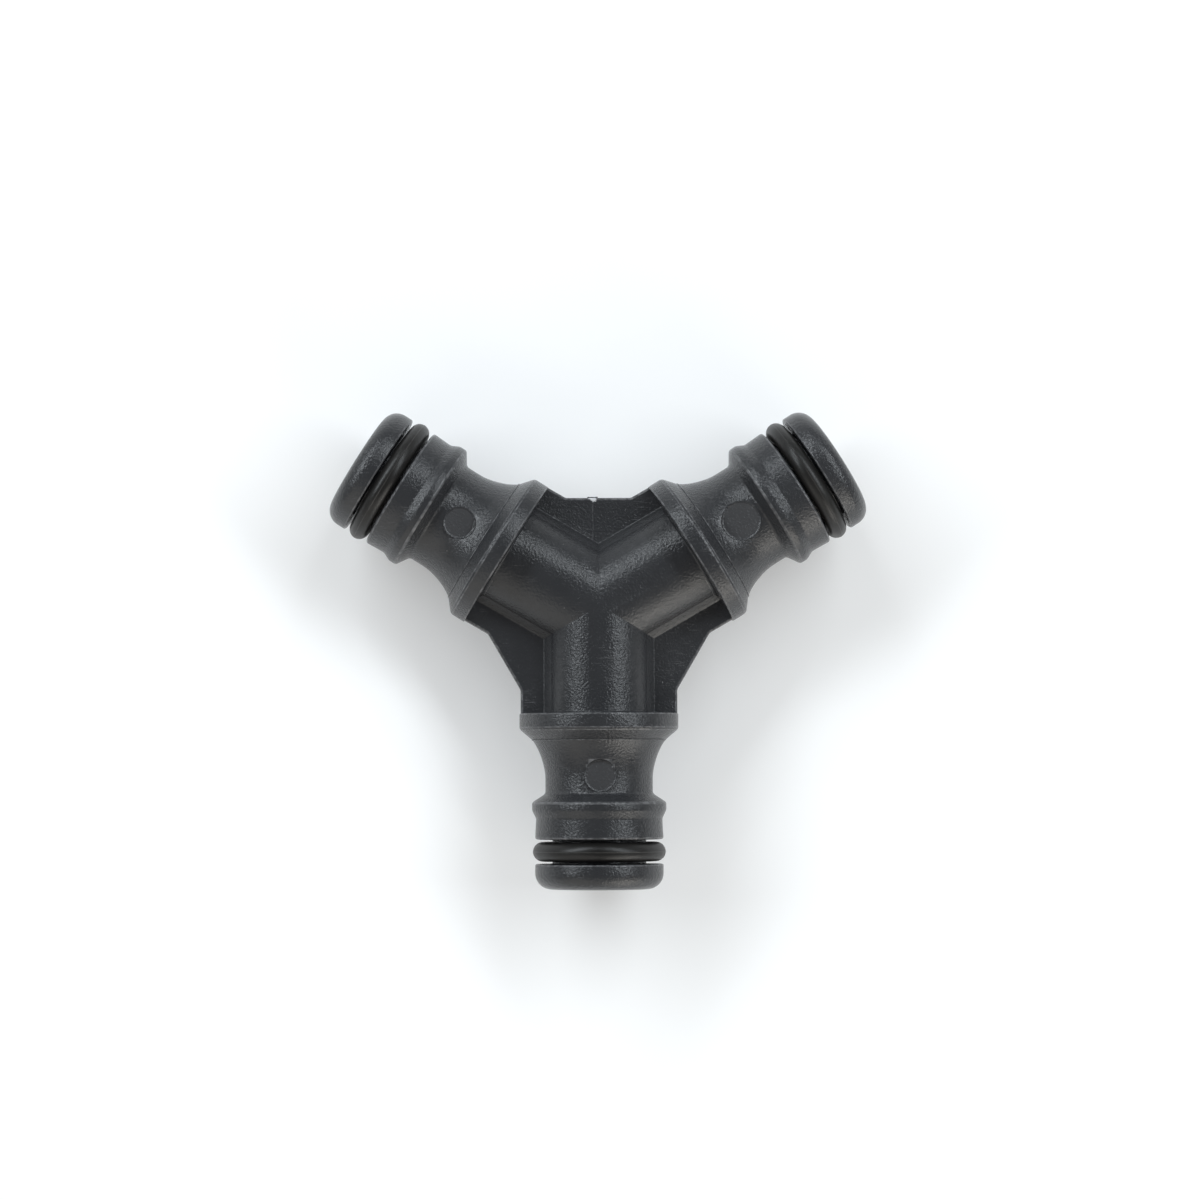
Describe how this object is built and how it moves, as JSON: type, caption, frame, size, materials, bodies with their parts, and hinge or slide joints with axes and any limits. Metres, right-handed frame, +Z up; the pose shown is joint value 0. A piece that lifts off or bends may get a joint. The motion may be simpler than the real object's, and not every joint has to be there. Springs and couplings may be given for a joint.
{
  "type": "tubing y connector",
  "caption": "Y-shaped hose connector with a hollow moulded body, plug-in spigots for click-fit couplings and an O-ring on each spigot.",
  "frame": {"origin": "the hub centre, where the three hub tubes meet, on the parting plane", "axes": "+X towards the right branch's side, +Y between the two branches with the stem along -Y, +Z up out of the plane that the legs lie in"},
  "size_m": [0.067, 0.0594, 0.0198],
  "materials": {
    "body_plastic": "fine grained satin moulded charcoal plastic",
    "ring_rubber": "smooth black rubber with a slight sheen"
  },
  "bodies": {
    "root": {"y_body": "body_plastic", "o_ring_stem": "ring_rubber", "o_ring_left": "ring_rubber", "o_ring_right": "ring_rubber"}
  },
  "joints": []
}
